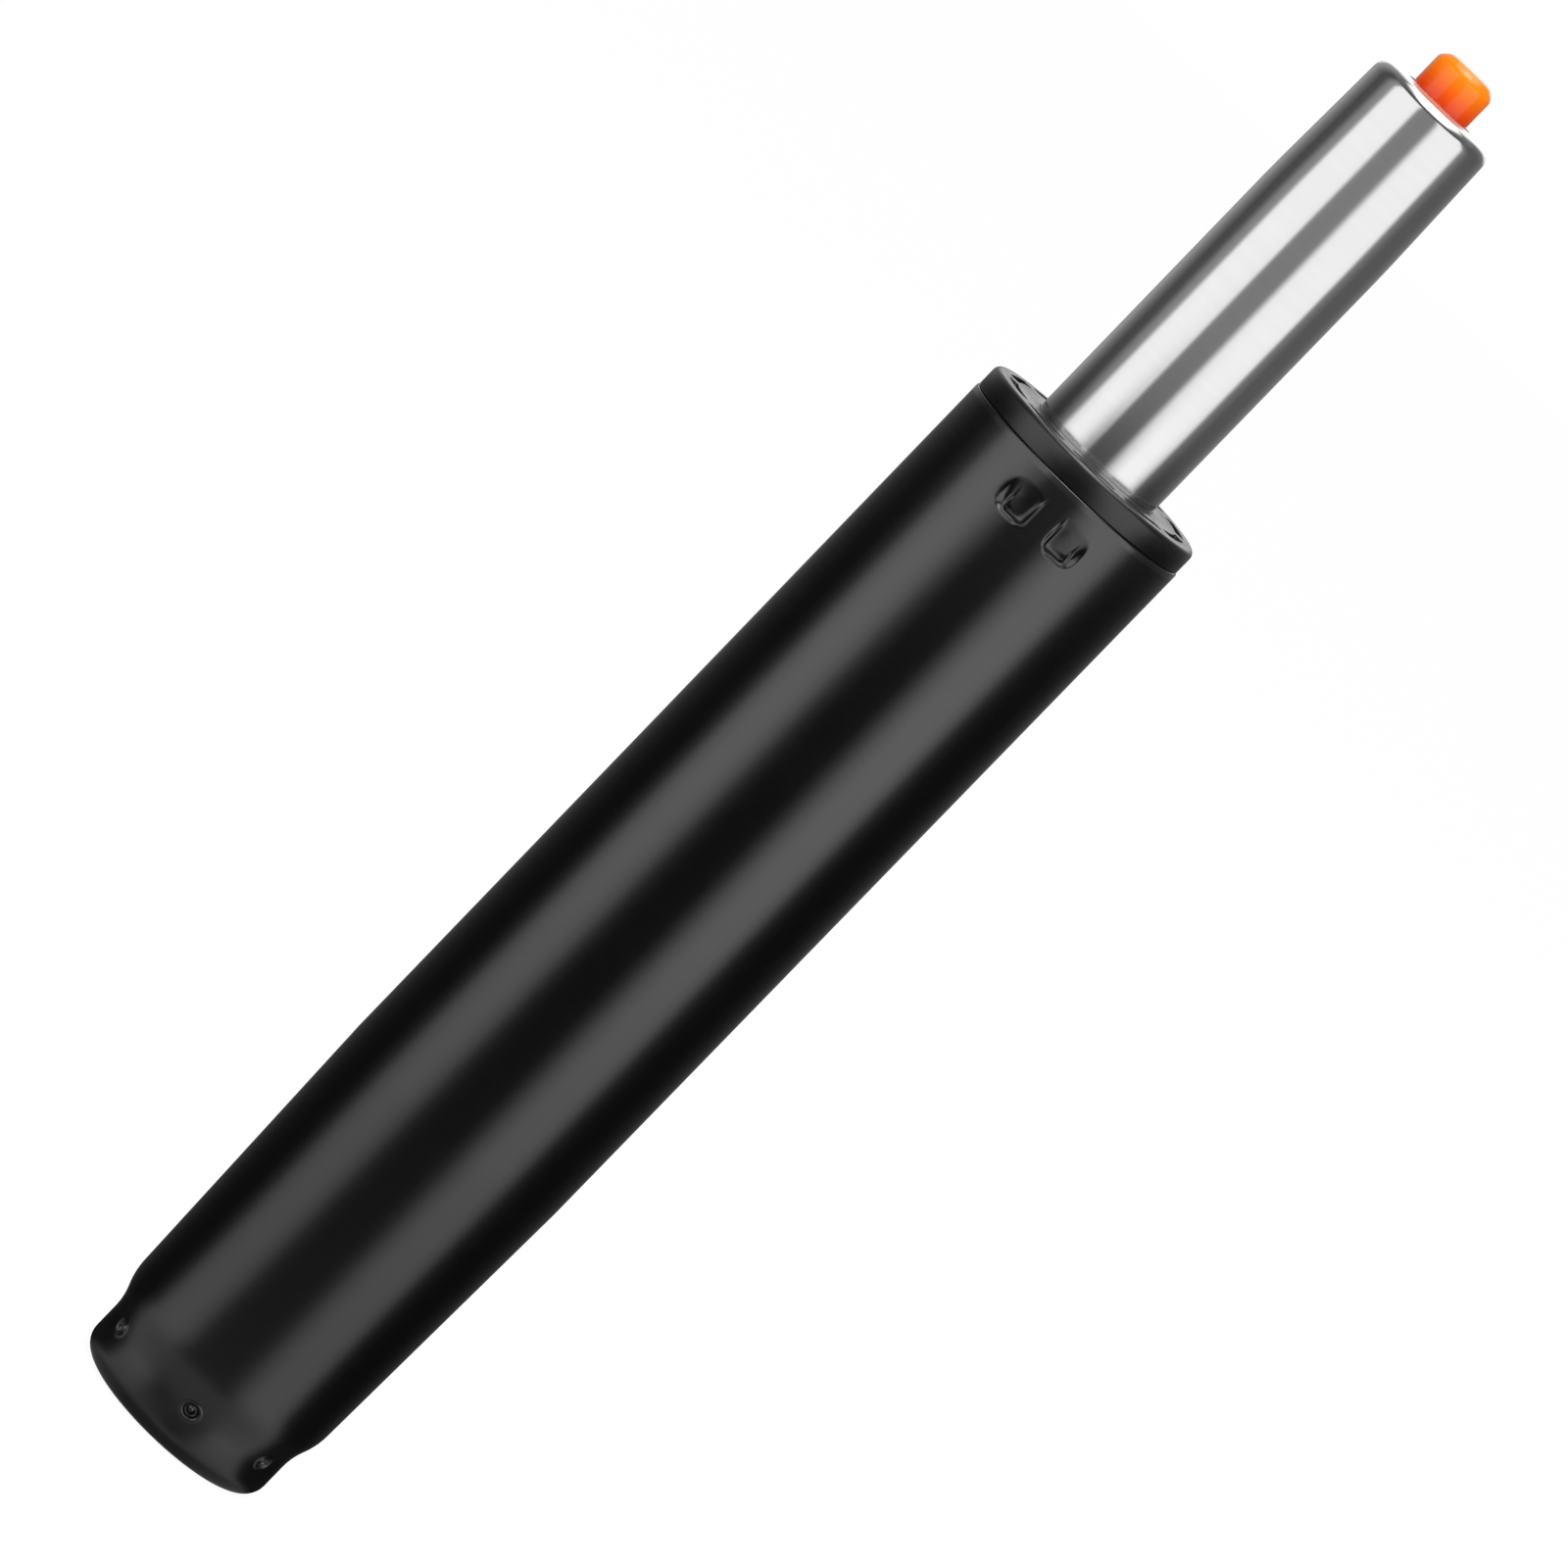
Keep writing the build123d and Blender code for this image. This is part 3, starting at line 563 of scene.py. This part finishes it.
# %% Moulded black collar
black_polymer = new_finish("black_moulded_polymer", (0.003, 0.003, 0.0031), 0.3, Specular_IOR_Level=0.65)
grain = effect(black_polymer, grain_group, Scale=3600.0, Waviness=0.3)
touch = effect(black_polymer, handling_group, Scale=90.0, Contrast=1.5)
vary_colour(black_polymer, touch["Mask"], (0.002, 0.002, 0.0021), (0.004, 0.004, 0.0042))
vary_gloss(black_polymer, grain["Mask"], 0.25, 0.32)
raise_relief(black_polymer, grain["Height"], 0.00001)

# %% Bright tube
bright_steel = new_finish("ground_bright_steel", (0.68, 0.68, 0.68), 0.14, metallic=1.0)
marks = effect(bright_steel, turning_group, Pitch=9000.0, Breaks=30.0)
touch = effect(bright_steel, handling_group, Scale=38.0, Contrast=1.4)
vary_colour(bright_steel, marks["Mask"], (0.66, 0.662, 0.665), (0.71, 0.708, 0.705))
cut_ends = effect(bright_steel, end_group, Low=0.93, High=0.995)
vary_gloss(bright_steel, touch["Mask"], 0.11, 0.17, cut_ends["Mask"], 0.3)
raise_relief(bright_steel, marks["Height"], 0.0000004)

# %% Orange button: its base colour is painted yellower towards the rim than at its foot, a painted glow that stands in for light coming through the plastic
orange_polymer = new_finish("orange_gloss_polymer", (0.8, 0.1, 0.0), 0.12, Specular_IOR_Level=0.4)
grain = effect(orange_polymer, grain_group, Scale=3000.0, Waviness=1.2)
# painted glow: the height mask turns the base colour from deep orange at the foot to yellow-orange at the rim
rise = effect(orange_polymer, height_group, Low=0.3365, High=0.3462)
vary_colour(orange_polymer, rise["Mask"], (0.76, 0.05, 0.0), (0.97, 0.26, 0.0))
vary_gloss(orange_polymer, grain["Mask"], 0.1, 0.15)
raise_relief(orange_polymer, grain["Height"], 0.0000005)


# %% Metals and plastics of the inner works
def metal_finish(name, colour, roughness, pitch, depth):
    """A turned or ground metal: lines round the axis, and a gloss that changes a little."""
    made = new_finish(name, colour, roughness, metallic=1.0)
    marks = effect(made, turning_group, Pitch=pitch, Breaks=20.0)
    touch = effect(made, handling_group, Scale=120.0, Contrast=1.8)
    vary_colour(made, marks["Mask"], tuple(c * 0.9 for c in colour), tuple(min(c * 1.08, 1) for c in colour))
    vary_gloss(made, touch["Mask"], roughness * 0.75, roughness * 1.3)
    raise_relief(made, marks["Height"], depth)
    return made


def moulded_finish(name, colour, roughness, scale, depth):
    """A moulded plastic or rubber: fine grain, and a colour that clouds a little."""
    made = new_finish(name, colour, roughness)
    grain = effect(made, grain_group, Scale=scale, Waviness=0.6)
    touch = effect(made, handling_group, Scale=150.0, Contrast=1.6)
    vary_colour(made, touch["Mask"], tuple(c * 0.85 for c in colour), tuple(min(c * 1.12, 1) for c in colour))
    vary_gloss(made, grain["Mask"], roughness * 0.85, min(roughness * 1.15, 1))
    raise_relief(made, grain["Height"], depth)
    return made


inner_finishes = {
    "plated_steel": metal_finish("zinc_plated_steel", (0.62, 0.61, 0.58), 0.3, 5000.0, 0.0000012),
    "bearing_steel": metal_finish("polished_bearing_steel", (0.66, 0.66, 0.67), 0.08, 9000.0, 0.0000002),
    "ground_steel": metal_finish("ground_rod_steel", (0.66, 0.66, 0.66), 0.12, 12000.0, 0.0000004),
    "drawn_steel": metal_finish("drawn_tube_steel", (0.5, 0.5, 0.5), 0.26, 4000.0, 0.0000008),
    "spring_steel": metal_finish("blackened_spring_steel", (0.16, 0.155, 0.155), 0.34, 5000.0, 0.000001),
    "cast_alloy": metal_finish("turned_cast_alloy", (0.63, 0.63, 0.64), 0.28, 3500.0, 0.0000015),
    "turned_brass": metal_finish("turned_brass", (0.75, 0.56, 0.28), 0.2, 5000.0, 0.000001),
    "natural_polymer": moulded_finish("natural_moulded_polymer", (0.78, 0.76, 0.7), 0.42, 4200.0, 0.000004),
    "black_rubber": moulded_finish("moulded_black_rubber", (0.02, 0.02, 0.02), 0.62, 3000.0, 0.00001),
}
finishes = {
    "black_paint": black_paint,
    "black_polymer": black_polymer,
    "bright_steel": bright_steel,
    "orange_polymer": orange_polymer,
    **inner_finishes,
}
for part in frame["record"]["subparts"]:
    slots = nodes[part["node"]].data.materials
    slots.clear()
    slots.append(finishes[part["material_slot"]])
print("finishes", len(finishes))

# %% [markdown]
# ## Turning a piece from its outline
# Tube, collar and button are all round, and on the real part each is drawn, moulded or turned. So each starts
# as an outline of a few points in millimetres. The bevel operator rounds its corners, and the spin
# operator carries it round the axis. Spun with merging, the last ring closes on the first one.

# %% Outline helpers
def outline(points, rounds):
    """A closed outline of points (distance from the axis, height). Rounds are corner: (setback, segments)."""
    form = bmesh.new()
    corners = [form.verts.new((distance, 0, height)) for distance, height in points]
    for first, second in zip(corners, corners[1:] + corners[:1]):
        form.edges.new((first, second))
    for index, (setback, segments) in rounds.items():
        bmesh.ops.bevel(
            form,
            geom=[corners[index]],
            offset=setback,
            offset_type="OFFSET",
            segments=segments,
            profile=0.5,
            affect="VERTICES",
            material=-1,
            clamp_overlap=False,
        )
    return form


def add_levels(form, low, high, count):
    """Cuts the outline's outer edge between two heights into even steps."""
    spans = [e for e in form.edges if all(low - 0.01 <= v.co.z <= high + 0.01 for v in e.verts)]
    spans = [e for e in spans if e.calc_length() > 1]
    outer = max(v.co.x for e in spans for v in e.verts)
    spans = [e for e in spans if min(v.co.x for v in e.verts) > outer - 0.9]
    bmesh.ops.subdivide_edges(form, edges=spans, cuts=count - 1)


def spin_round(form, steps):
    """Carries the outline once round the axis and closes it. An edge on the axis itself is dropped."""
    bmesh.ops.spin(
        form,
        geom=form.verts[:] + form.edges[:],
        angle=tau,
        steps=steps,
        axis=(0, 0, 1),
        cent=(0, 0, 0),
        use_merge=True,
    )
    bmesh.ops.remove_doubles(form, verts=form.verts[:], dist=0.0005)
    bmesh.ops.delete(form, geom=[e for e in form.edges if e.is_wire], context="EDGES")
    bmesh.ops.recalc_face_normals(form, faces=form.faces[:])


def compass(point):
    """Direction of a point round the axis in degrees: 0 is the front (-Y), and it grows towards +X."""
    return degrees(atan2(point.x, -point.y))


def finish_piece(form, name, node, body, slot):
    """Turns the millimetre form into a piece in metres that stands for a CAD node."""
    bmesh.ops.scale(form, vec=(mm, mm, mm), verts=form.verts[:])
    open_edges = sum(not e.is_manifold for e in form.edges)
    mesh = bpy.data.meshes.new(name)
    form.to_mesh(mesh)
    form.free()
    mesh.shade_smooth()
    piece = bpy.data.objects.new(name, mesh)
    bpy.context.scene.collection.objects.link(piece)
    piece.data.materials.append(finishes[slot])
    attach(piece, body)
    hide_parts(node)
    print(name, len(mesh.polygons), "faces", open_edges, "open edges")


# %% [markdown]
# ## The column tube
# The real column is a drawn steel tube: its lower end is swaged in to a cone, a shoulder and a short neck,
# and then curled under. Two pairs of stakes near the upper edge hold the guide sleeve: a blunt punch
# presses a soft bowl, and its lower edge shears a tongue inwards. Six punch marks hold the bottom plate.
# A cut could not give those soft bowls, so the spun skin gets small, dense patches there, and the
# points of the skin move inwards by a formula.

# %% Outline of the column
column_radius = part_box("column_tube")[1].x / mm
column_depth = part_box("column_tube")[1].y / mm
column_top = high_z("column_tube")
column_wall = 2.0
neck_radius = column_radius - 3.5
foot_round = 3.5
lip_width = 4.5
cone_slope = 1 / 40
cone_bottom, cone_top = 19.0, 78.5
cone_radius = column_radius - (cone_top - cone_bottom) * cone_slope
bend = 2.721
bend_low, bend_high = 11.222, 16.278
stake_low, stake_high = 232.2, 239.4
column = outline(
    [
        (neck_radius - lip_width, 0),
        (neck_radius, 0),
        (neck_radius, bend_low),
        (cone_radius, bend_high),
        (column_radius, cone_top),
        (column_radius, stake_low - 5),
        (column_radius, column_top),
        (column_radius - column_wall, column_top),
        (column_radius - column_wall, cone_top),
        (cone_radius - column_wall, bend_high),
        (neck_radius - column_wall, bend_low),
        (neck_radius - column_wall, column_wall),
        (neck_radius - lip_width, column_wall),
    ],
    {
        0: (0.35, 3),
        1: (foot_round, 9),
        2: (bend, 7),
        3: (bend, 7),
        4: (5.0, 4),
        6: (0.45, 4),
        9: (2.2, 3),
        10: (2.2, 3),
        11: (1.5, 4),
        12: (0.35, 3),
    },
)
add_levels(column, foot_round, bend_low - bend, 7)
add_levels(column, stake_low - 5, column_top, 15)
spin_round(column, 180)
print("column", len(column.faces), "faces before the dents")


# %% Where the skin lies before it is pressed
def skin_radius(height):
    """Radius of the undented outer skin at a height."""
    if height < foot_round:
        return neck_radius - foot_round + sqrt(max(foot_round**2 - (foot_round - height) ** 2, 0))
    if height > cone_top:
        return column_radius
    if height > cone_bottom:
        return cone_radius + (height - cone_bottom) * cone_slope
    start = bend_low - bend
    stop = bend_high + bend
    if height <= start:
        return neck_radius
    rise = (cone_radius - neck_radius) / 2
    run = (stop - start) / 2
    arc = (rise**2 + run**2) / (2 * rise)
    if height < start + run:
        return neck_radius + arc - sqrt(arc**2 - (height - start) ** 2)
    return cone_radius - arc + sqrt(max(arc**2 - (stop - height) ** 2, 0))


def soft_step(value, low, high):
    """0 below low, 1 above high, and smooth between."""
    t = min(max((value - low) / (high - low), 0.0), 1.0)
    return t * t * (3 - 2 * t)


# %% The shape of one stake and of one punch mark
stake_angles = [turn + side for turn in (0, 180) for side in (-12, 12)]
bowl_depth_most, bowl_half_width, bowl_half_height, bowl_middle, bowl_squareness = 1.1, 3.9, 4.1, 3.0, 3.2
tongue_half_width, tongue_corner, tongue_extra = 2.35, 0.65, 0.95
burr_height, burr_place, burr_width = 0.17, 0.38, 0.21


def bowl_depth(outward, above):
    """Depth of the soft bowl, which fades out towards its top."""
    across = abs(outward / bowl_half_width) ** bowl_squareness
    along = abs((above - bowl_middle) / bowl_half_height) ** bowl_squareness
    bowl = max(1 - across - along, 0.0)
    return bowl_depth_most * soft_step(bowl, 0.0, 0.9) * (1 - 0.97 * soft_step(above, 0.5, 7.0))


def stake_depth(outward, above, drift):
    """How deep the skin is pressed: outward is away from the pair's middle, above is from the lower edge.

    The bowl's middle lies further out than the tongue's by the drift. The tongue's wall is longer on the
    inner side, and a low burr runs along the sheared edge.
    """
    out_x = max(abs(outward) - (tongue_half_width - tongue_corner), 0.0)
    out_z = max(tongue_corner - above, 0.0)
    past_edge = hypot(out_x, out_z) - tongue_corner
    inside = 1 - soft_step(past_edge, -0.12, 0.14)
    reach = 4.9 - 1.6 * outward / tongue_half_width
    tilt = 0.06 * outward * (1 - soft_step(above, 2.0, 5.5))
    extra = tongue_extra * max(1 - above / reach, 0.0) ** 2 + tilt
    burr = burr_height * exp(-(((past_edge - burr_place) / burr_width) ** 2))
    burr *= 1 - soft_step(above / reach, 0.55, 1.05)
    return bowl_depth(outward - drift, above) + extra * inside - burr


hollow_depth, hollow_half_width, hollow_half_height, hollow_below = 0.4, 4.4, 4.2, 2.0
crater_depth, crater_floor, crater_edge = 0.7, 1.1, 1.8
pip_height, pip_radius = 0.6, 1.2
rim_height, rim_radius, rim_width = 0.18, 2.0, 0.3


def punch_depth(across, above):
    """How deep the skin is pressed near a punch mark: a ring with a pip, in a wide soft hollow."""
    reach = hypot(across, above * 1.2)
    hollow = hollow_depth * exp(
        -((across / hollow_half_width) ** 2) - ((above + hollow_below) / hollow_half_height) ** 2
    )
    crater = crater_depth * (1 - soft_step(reach, crater_floor, crater_edge))
    pip = pip_height * (1 - soft_step(hypot(across + 0.2, above - 0.1), 0.1, pip_radius))
    rim = rim_height * exp(-(((reach - rim_radius) / rim_width) ** 2))
    return hollow + crater - pip - rim


punch_height = 9.2
punch_angles = [-59.5, 2.7, 56.7, 120, 180, 240]


def nearest(angle, marks):
    """Signed degrees from the nearest of the marks."""
    return min(((angle - mark + 180) % 360 - 180 for mark in marks), key=abs)


# %% Dense patches, then the dents
def on_skin(vert):
    """True for a point of the outer skin."""
    return vert.co.xy.length > skin_radius(vert.co.z) - 0.6


def patch_faces(form, marks, half_width, low, high):
    """Faces of the outer skin within a patch round each mark."""
    found = []
    for face in form.faces:
        middle = face.calc_center_median()
        if low < middle.z < high and middle.xy.length > skin_radius(middle.z) - 0.6:
            if abs(nearest(compass(middle), marks)) < half_width and abs(face.normal.z) < 0.7:
                found.append(face)
    return found


for marks, half_width, low, high, cuts in (
    (stake_angles, 10.6, stake_low - 1.6, stake_high + 0.8, 7),
    (punch_angles, 7.2, punch_height - 2.8, punch_height + 2.8, 7),
):
    patch = patch_faces(column, marks, half_width, low, high)
    edges = list({edge for face in patch for edge in face.edges})
    bmesh.ops.subdivide_edges(column, edges=edges, cuts=cuts, use_grid_fill=True)

foot_zone_top = 26
plain_drift, front_left_drift = 0.35, 0.9
moved = 0
for vert in column.verts:
    if not on_skin(vert) or vert.co.z < 0.02:
        continue
    height = vert.co.z
    length = skin_radius(height) if height < column_top - 0.6 else vert.co.xy.length
    angle = compass(vert.co)
    if height < foot_zone_top:
        across = radians(nearest(angle, punch_angles)) * length
        length -= punch_depth(across, height - punch_height) * soft_step(height, 0.6, 3.2)
    elif height > stake_low - 3:
        outward = radians(nearest(angle, stake_angles)) * length
        if vert.co.x * vert.co.y > 0:
            outward = -outward
        drift = front_left_drift if -40 < angle < 0 else plain_drift
        length -= stake_depth(outward, height - stake_low, drift)
    direction = vert.co.xy.normalized()
    vert.co.x = max(min(direction.x * length, column_radius), -column_radius)
    vert.co.y = max(min(direction.y * length, column_depth), -column_depth)
    moved += 1
print("points set on the skin", moved)
finish_piece(column, "column_skin", "column_tube", "column", "black_paint")

# %% [markdown]
# ## The guide sleeve
# The sleeve is a moulded bush: a collar that closes the column, a full band below it, ten ribs on a thin
# wall and an end band. Ten arc slots save material in the collar. The ring is spun first. Then the faces
# between two rings become the slots with one extrusion, and the edges get a small round.

# %% Outline of the sleeve
collar_top = high_z("guide_sleeve")
sleeve_bottom = low_z("guide_sleeve")
collar_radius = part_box("guide_sleeve")[1].y / mm
sleeve_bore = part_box("pressure_tube")[1].x / mm + 0.05
body_radius = column_radius - column_wall - 0.12
thin_wall = 2.7
wall_radius = sleeve_bore + thin_wall
collar_rim, slot_width, slot_depth = 3.0, 2.0, 8.0
slot_outer = collar_radius - collar_rim
slot_inner = slot_outer - slot_width
end_band, upper_band = 6, 15
sleeve = outline(
    [
        (sleeve_bore, sleeve_bottom),
        (body_radius, sleeve_bottom),
        (body_radius, sleeve_bottom + end_band),
        (wall_radius, sleeve_bottom + end_band),
        (wall_radius, column_top - upper_band),
        (body_radius, column_top - upper_band),
        (body_radius, column_top),
        (collar_radius, column_top),
        (collar_radius, collar_top),
        (slot_outer, collar_top),
        (slot_inner, collar_top),
        (sleeve_bore, collar_top),
    ],
    {0: (1.0, 2), 1: (1.0, 2), 7: (0.35, 3), 8: (1.4, 8), 11: (0.35, 3)},
)
spin_round(sleeve, 180)

# %% Slots and ribs
rib_pitch, rib_half_width = 36, 4
slot_faces, rib_faces = [], []
for face in sleeve.faces:
    middle = face.calc_center_median()
    past_rib = (compass(middle) - 90) % rib_pitch
    on_rib = min(past_rib, rib_pitch - past_rib) < rib_half_width
    in_slot_ring = middle.z > collar_top - 0.01 and slot_inner < middle.xy.length < slot_outer
    on_thin_wall = abs(middle.xy.length - wall_radius) < 0.1
    if in_slot_ring and not on_rib:
        slot_faces.append(face)
    if on_thin_wall and on_rib and sleeve_bottom + end_band < middle.z < column_top - upper_band:
        rib_faces.append(face)
pressed = bmesh.ops.extrude_face_region(sleeve, geom=slot_faces)
bmesh.ops.delete(sleeve, geom=slot_faces, context="FACES")
floor_points = [v for v in pressed["geom"] if isinstance(v, bmesh.types.BMVert)]
bmesh.ops.translate(sleeve, verts=floor_points, vec=(0, 0, -slot_depth))
raised = bmesh.ops.extrude_face_region(sleeve, geom=rib_faces)
bmesh.ops.delete(sleeve, geom=rib_faces, context="FACES")
for vert in (v for v in raised["geom"] if isinstance(v, bmesh.types.BMVert)):
    vert.co.xy = vert.co.xy.normalized() * body_radius
slot_walls = [
    e
    for e in sleeve.edges
    if abs(e.verts[0].co.z - e.verts[1].co.z) > slot_depth - 0.1
    and e.verts[0].co.z > column_top - 5
    and e.calc_face_angle(0) > 1.0
]
bmesh.ops.bevel(sleeve, geom=slot_walls, offset=0.55, segments=4, profile=0.5, affect="EDGES", material=-1)
slot_rims = [
    e
    for e in sleeve.edges
    if all(abs(v.co.z - collar_top) < 0.001 and v.co.xy.length > slot_inner - 0.1 for v in e.verts)
    and any(f.calc_center_median().z < collar_top - 1 for f in e.link_faces)
    and max(v.co.xy.length for v in e.verts) < slot_outer + 0.1
]
bmesh.ops.bevel(sleeve, geom=slot_rims, offset=0.16, segments=2, profile=0.5, affect="EDGES", material=-1)
bmesh.ops.recalc_face_normals(sleeve, faces=sleeve.faces[:])
print("slot faces", len(slot_faces), "rib faces", len(rib_faces), "slot rims", len(slot_rims))
finish_piece(sleeve, "guide_collar", "guide_sleeve", "column", "black_polymer")

# %% [markdown]
# ## The bright tube
# The pressure tube is drawn, ground and rolled in at both ends, and its upper end is ground to a slow cone
# that wedges into the seat mechanism. One closed outline holds all of it, walls included.

# %% Outline of the bright tube
tube_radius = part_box("pressure_tube")[1].x / mm
tube_bottom, tube_top = low_z("pressure_tube"), high_z("pressure_tube")
tube_wall = 1.5
cone_length = 28.3
cone_start = tube_top - cone_length
top_radius = tube_radius - cone_length * cone_slope
foot_opening, mouth_radius, ledge_radius = 10.5, 7.6, 8.2
tube = outline(
    [
        (foot_opening, tube_bottom),
        (tube_radius, tube_bottom),
        (tube_radius, cone_start),
        (top_radius, tube_top),
        (10.2, tube_top),
        (ledge_radius, tube_top + 0.3),
        (mouth_radius, tube_top + 0.3),
        (mouth_radius, tube_top - tube_wall),
        (top_radius - tube_wall, tube_top - tube_wall),
        (tube_radius - tube_wall, cone_start),
        (tube_radius - tube_wall, tube_bottom + tube_wall),
        (foot_opening, tube_bottom + tube_wall),
    ],
    {
        0: (0.3, 3),
        1: (2.2, 8),
        2: (2.5, 4),
        3: (2.9, 14),
        4: (0.15, 3),
        5: (0.15, 3),
        6: (0.3, 3),
        8: (1.4, 4),
        10: (0.7, 3),
        11: (0.3, 2),
    },
)
spin_round(tube, 144)
finish_piece(tube, "bright_tube", "pressure_tube", "gas_cylinder", "bright_steel")

# %% [markdown]
# ## The release button
# The button is a moulded plug with a slightly crowned face. Its upper edge is a wide soft bevel, so the
# outline gets a point at each end of the bevel, both rounded, and one for the crown. The crown's point and
# the socket's middle lie on the axis, so the spun faces meet there in closed poles.

# %% Outline of the button
button_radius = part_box("release_button")[1].x / mm
button_bottom, button_top = low_z("release_button"), high_z("release_button")
socket_radius = 1.65
socket_depth = 6.0
button = outline(
    [
        (socket_radius, button_bottom),
        (button_radius, button_bottom),
        (button_radius, button_top - 1.9),
        (button_radius - 1.8, button_top - 0.28),
        (0, button_top),
        (0, button_bottom + socket_depth),
        (socket_radius, button_bottom + socket_depth),
    ],
    {1: (0.4, 3), 2: (0.8, 6), 3: (0.8, 6)},
)
spin_round(button, 96)
finish_piece(button, "button_plug", "release_button", "release", "orange_polymer")

# %% [markdown]
# ## Checking the size
# The dressed part's box is compared with the CAD model's box, and the last line prints their largest
# difference. The dressed part has to stay in the CAD model's box. Both boxes are written down, and the last
# line lets the frame check every piece.

# %% Compare the boxes and finish
dressed_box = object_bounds()
differences = [abs(a - b) for p, q in zip(cad_box, dressed_box) for a, b in zip(p, q)]
print("largest difference in mm", round(max(differences) / mm, 3))
